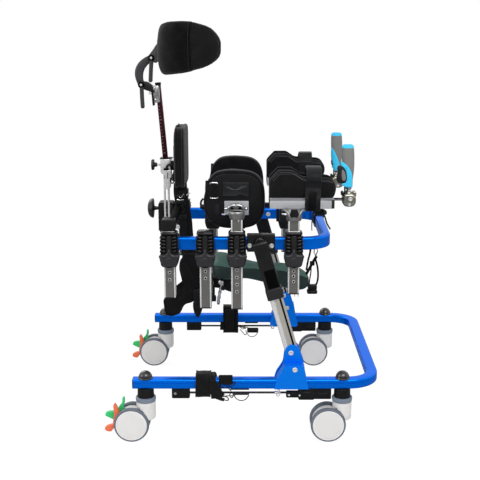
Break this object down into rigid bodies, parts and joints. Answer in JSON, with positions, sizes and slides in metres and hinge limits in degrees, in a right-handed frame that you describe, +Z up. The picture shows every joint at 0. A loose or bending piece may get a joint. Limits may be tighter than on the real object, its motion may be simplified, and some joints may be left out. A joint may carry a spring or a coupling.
{
  "type": "pediatric walker",
  "caption": "Wheeled gait trainer: low U base on swivel casters, telescopic legs, raised U rail with clamped posts for head, back, chest, forearm and saddle supports.",
  "frame": {"origin": "on the floor, below the middle of the part's outer size at rest", "axes": "+X forward, the way the user faces; +Y to the user's left; +Z up from the floor"},
  "size_m": [0.7854, 0.685, 1.1716],
  "materials": {
    "blue_paint": "anodised blue, satin",
    "black_plastic": "moulded, fine grain",
    "grey_plastic": "moulded wheel with a soft grey tread",
    "pale_plastic": "moulded, light warm grey",
    "green_plastic": "moulded",
    "orange_plastic": "moulded",
    "silver_metal": "brushed extrusion",
    "bright_metal": "polished",
    "wine_metal": "dark red anodised",
    "black_fabric": "soft cover over foam",
    "seat_green": "smooth coated cover over foam",
    "grip_grey": "soft moulded grip"
  },
  "bodies": {
    "base": {"base_frame": "blue_paint", "caster_stem_rear_right": "black_plastic", "caster_stem_rear_left": "black_plastic", "caster_stem_front_right": "black_plastic", "caster_stem_front_left": "black_plastic", "leg_bracket_right": "blue_paint", "leg_bracket_left": "blue_paint", "leg_tube_right": "silver_metal", "leg_tube_left": "silver_metal", "ankle_bar_right": "black_plastic", "ankle_bar_left": "black_plastic"},
    "fork_rear_right": {"caster_fork_rear_right": "pale_plastic"},
    "fork_rear_left": {"caster_fork_rear_left": "pale_plastic"},
    "fork_front_right": {"caster_fork_front_right": "pale_plastic"},
    "fork_front_left": {"caster_fork_front_left": "pale_plastic"},
    "wheels_rear_right": {"caster_wheels_rear_right": "grey_plastic"},
    "wheels_rear_left": {"caster_wheels_rear_left": "grey_plastic"},
    "wheels_front_right": {"caster_wheels_front_right": "grey_plastic"},
    "wheels_front_left": {"caster_wheels_front_left": "grey_plastic"},
    "brake_right": {"brake_pedal_rear_right": "green_plastic"},
    "brake_left": {"brake_pedal_rear_left": "green_plastic"},
    "lock_right": {"lock_pedal_rear_right": "orange_plastic"},
    "lock_left": {"lock_pedal_rear_left": "orange_plastic"},
    "cuff_right": {"ankle_cuff_right": "black_fabric"},
    "cuff_left": {"ankle_cuff_left": "black_fabric"},
    "upper_frame": {"upper_rail": "blue_paint", "leg_sleeve_right": "black_plastic", "leg_sleeve_left": "black_plastic"},
    "rear_clamps": {"post_clamp_a_right": "black_plastic", "post_clamp_a_left": "black_plastic"},
    "seat_clamps": {"post_clamp_b_right": "black_plastic", "post_clamp_b_left": "black_plastic"},
    "chest_clamp_right": {"post_clamp_c_right": "black_plastic"},
    "chest_clamp_left": {"post_clamp_c_left": "black_plastic"},
    "arm_clamp_right": {"post_clamp_d_right": "black_plastic"},
    "arm_clamp_left": {"post_clamp_d_left": "black_plastic"},
    "rear_support": {"rear_support": "silver_metal"},
    "back_support": {"back_bar": "bright_metal", "back_pad": "black_fabric"},
    "bar_knob": {"bar_knob": "black_plastic"},
    "star_knob": {"star_knob": "black_plastic"},
    "head_post": {"head_post": "wine_metal"},
    "head_arm": {"head_arm": "grey_plastic"},
    "head_pad": {"head_pad": "black_fabric"},
    "seat_frame": {"seat_frame": "silver_metal"},
    "seat": {"seat": "seat_green"},
    "chest_post_right": {"chest_post_right": "silver_metal"},
    "chest_post_left": {"chest_post_left": "silver_metal"},
    "chest_support_right": {"chest_bracket_right": "bright_metal", "chest_pad_right": "black_fabric"},
    "chest_support_left": {"chest_bracket_left": "bright_metal", "chest_pad_left": "black_fabric"},
    "arm_post_right": {"arm_post_right": "silver_metal"},
    "arm_post_left": {"arm_post_left": "silver_metal"},
    "arm_support_right": {"arm_plate_right": "silver_metal", "arm_trough_right": "black_fabric"},
    "arm_support_left": {"arm_plate_left": "silver_metal", "arm_trough_left": "black_fabric"},
    "grip_right": {"hand_grip_right": "grip_grey"},
    "grip_left": {"hand_grip_left": "grip_grey"}
  },
  "joints": [
    {"name": "swivel_rear_right", "type": "hinge", "parent": "base", "child": "fork_rear_right", "pos_m": [-0.274, -0.31, 0.12], "axis": [0, 0, 1], "continuous": true},
    {"name": "swivel_rear_left", "type": "hinge", "parent": "base", "child": "fork_rear_left", "pos_m": [-0.274, 0.31, 0.12], "axis": [0, 0, 1], "continuous": true},
    {"name": "swivel_front_right", "type": "hinge", "parent": "base", "child": "fork_front_right", "pos_m": [0.285, -0.31, 0.12], "axis": [0, 0, 1], "continuous": true},
    {"name": "swivel_front_left", "type": "hinge", "parent": "base", "child": "fork_front_left", "pos_m": [0.285, 0.31, 0.12], "axis": [0, 0, 1], "continuous": true},
    {"name": "roll_rear_right", "type": "hinge", "parent": "fork_rear_right", "child": "wheels_rear_right", "pos_m": [-0.314, -0.31, 0.05], "axis": [0, 1, 0], "continuous": true},
    {"name": "roll_rear_left", "type": "hinge", "parent": "fork_rear_left", "child": "wheels_rear_left", "pos_m": [-0.314, 0.31, 0.05], "axis": [0, 1, 0], "continuous": true},
    {"name": "roll_front_right", "type": "hinge", "parent": "fork_front_right", "child": "wheels_front_right", "pos_m": [0.245, -0.31, 0.05], "axis": [0, 1, 0], "continuous": true},
    {"name": "roll_front_left", "type": "hinge", "parent": "fork_front_left", "child": "wheels_front_left", "pos_m": [0.245, 0.31, 0.05], "axis": [0, 1, 0], "continuous": true},
    {"name": "brake_rock_right", "type": "hinge", "parent": "fork_rear_right", "child": "brake_right", "pos_m": [-0.344, -0.31, 0.06], "axis": [0, 1, 0], "range_deg": [-8, 8]},
    {"name": "brake_rock_left", "type": "hinge", "parent": "fork_rear_left", "child": "brake_left", "pos_m": [-0.344, 0.31, 0.06], "axis": [0, 1, 0], "range_deg": [-8, 8]},
    {"name": "lock_rock_right", "type": "hinge", "parent": "fork_rear_right", "child": "lock_right", "pos_m": [-0.344, -0.31, 0.06], "axis": [0, 1, 0], "range_deg": [-8, 8]},
    {"name": "lock_rock_left", "type": "hinge", "parent": "fork_rear_left", "child": "lock_left", "pos_m": [-0.344, 0.31, 0.06], "axis": [0, 1, 0], "range_deg": [-8, 8]},
    {"name": "cuff_slide_right", "type": "slide", "parent": "base", "child": "cuff_right", "axis": [1, 0, 0], "range_m": [-0.014, 0.05]},
    {"name": "cuff_slide_left", "type": "slide", "parent": "base", "child": "cuff_left", "axis": [1, 0, 0], "range_m": [-0.014, 0.05]},
    {"name": "leg_telescope", "type": "slide", "parent": "base", "child": "upper_frame", "axis": [-0.279, 0, 0.9603], "range_m": [-0.06, 0.09]},
    {"name": "rear_clamp_slide", "type": "slide", "parent": "upper_frame", "child": "rear_clamps", "axis": [1, 0, 0], "range_m": [0, 0.02]},
    {"name": "seat_clamp_slide", "type": "slide", "parent": "upper_frame", "child": "seat_clamps", "axis": [1, 0, 0], "range_m": [-0.02, 0.015]},
    {"name": "chest_clamp_slide_right", "type": "slide", "parent": "upper_frame", "child": "chest_clamp_right", "axis": [1, 0, 0], "range_m": [-0.016, 0]},
    {"name": "chest_clamp_slide_left", "type": "slide", "parent": "upper_frame", "child": "chest_clamp_left", "axis": [1, 0, 0], "range_m": [-0.016, 0]},
    {"name": "arm_clamp_slide_right", "type": "slide", "parent": "upper_frame", "child": "arm_clamp_right", "axis": [1, 0, 0], "range_m": [-0.007, 0.004]},
    {"name": "arm_clamp_slide_left", "type": "slide", "parent": "upper_frame", "child": "arm_clamp_left", "axis": [1, 0, 0], "range_m": [-0.007, 0.004]},
    {"name": "rear_post_slide", "type": "slide", "parent": "rear_clamps", "child": "rear_support", "axis": [0, 0, 1], "range_m": [0, 0.07]},
    {"name": "back_bar_slide", "type": "slide", "parent": "rear_support", "child": "back_support", "axis": [0, 0, 1], "range_m": [-0.01, 0.055]},
    {"name": "bar_knob_turn", "type": "hinge", "parent": "rear_support", "child": "bar_knob", "pos_m": [-0.2565, 0, 0.615], "axis": [1, 0, 0], "continuous": true},
    {"name": "star_knob_turn", "type": "hinge", "parent": "back_support", "child": "star_knob", "pos_m": [-0.2475, 0, 0.749], "axis": [1, 0, 0], "continuous": true},
    {"name": "head_post_slide", "type": "slide", "parent": "back_support", "child": "head_post", "axis": [-0.0802, 0, 0.9968], "range_m": [-0.05, 0.03]},
    {"name": "head_arm_tilt", "type": "hinge", "parent": "head_post", "child": "head_arm", "pos_m": [-0.2995, 0, 0.989], "axis": [0, 1, 0], "range_deg": [-20, 8]},
    {"name": "head_pad_tilt", "type": "hinge", "parent": "head_arm", "child": "head_pad", "pos_m": [-0.2681, 0, 1.067], "axis": [0, 1, 0], "range_deg": [-15, 15]},
    {"name": "seat_post_slide", "type": "slide", "parent": "seat_clamps", "child": "seat_frame", "axis": [0, 0, 1], "range_m": [-0.045, 0.025]},
    {"name": "seat_slide", "type": "slide", "parent": "seat_frame", "child": "seat", "axis": [1, 0, 0], "range_m": [-0.015, 0.03]},
    {"name": "chest_post_slide_right", "type": "slide", "parent": "chest_clamp_right", "child": "chest_post_right", "axis": [0, 0, 1], "range_m": [-0.01, 0.06]},
    {"name": "chest_post_slide_left", "type": "slide", "parent": "chest_clamp_left", "child": "chest_post_left", "axis": [0, 0, 1], "range_m": [-0.01, 0.06]},
    {"name": "chest_pad_yaw_right", "type": "hinge", "parent": "chest_post_right", "child": "chest_support_right", "pos_m": [-0.014, -0.263, 0.6325], "axis": [0, 0, 1], "range_deg": [0, 15]},
    {"name": "chest_pad_yaw_left", "type": "hinge", "parent": "chest_post_left", "child": "chest_support_left", "pos_m": [-0.014, 0.263, 0.6325], "axis": [0, 0, -1], "range_deg": [0, 15]},
    {"name": "arm_post_slide_right", "type": "slide", "parent": "arm_clamp_right", "child": "arm_post_right", "axis": [0, 0, 1], "range_m": [-0.01, 0.07]},
    {"name": "arm_post_slide_left", "type": "slide", "parent": "arm_clamp_left", "child": "arm_post_left", "axis": [0, 0, 1], "range_m": [-0.01, 0.07]},
    {"name": "arm_plate_yaw_right", "type": "hinge", "parent": "arm_post_right", "child": "arm_support_right", "pos_m": [0.1449, -0.263, 0.6285], "axis": [0, 0, -1], "range_deg": [0, 25]},
    {"name": "arm_plate_yaw_left", "type": "hinge", "parent": "arm_post_left", "child": "arm_support_left", "pos_m": [0.1449, 0.263, 0.6285], "axis": [0, 0, 1], "range_deg": [0, 25]},
    {"name": "grip_turn_right", "type": "hinge", "parent": "arm_support_right", "child": "grip_right", "pos_m": [0.306, -0.173, 0.6715], "axis": [1, 0, 0], "range_deg": [-25, 25]},
    {"name": "grip_turn_left", "type": "hinge", "parent": "arm_support_left", "child": "grip_left", "pos_m": [0.306, 0.173, 0.6715], "axis": [1, 0, 0], "range_deg": [-25, 25]}
  ]
}
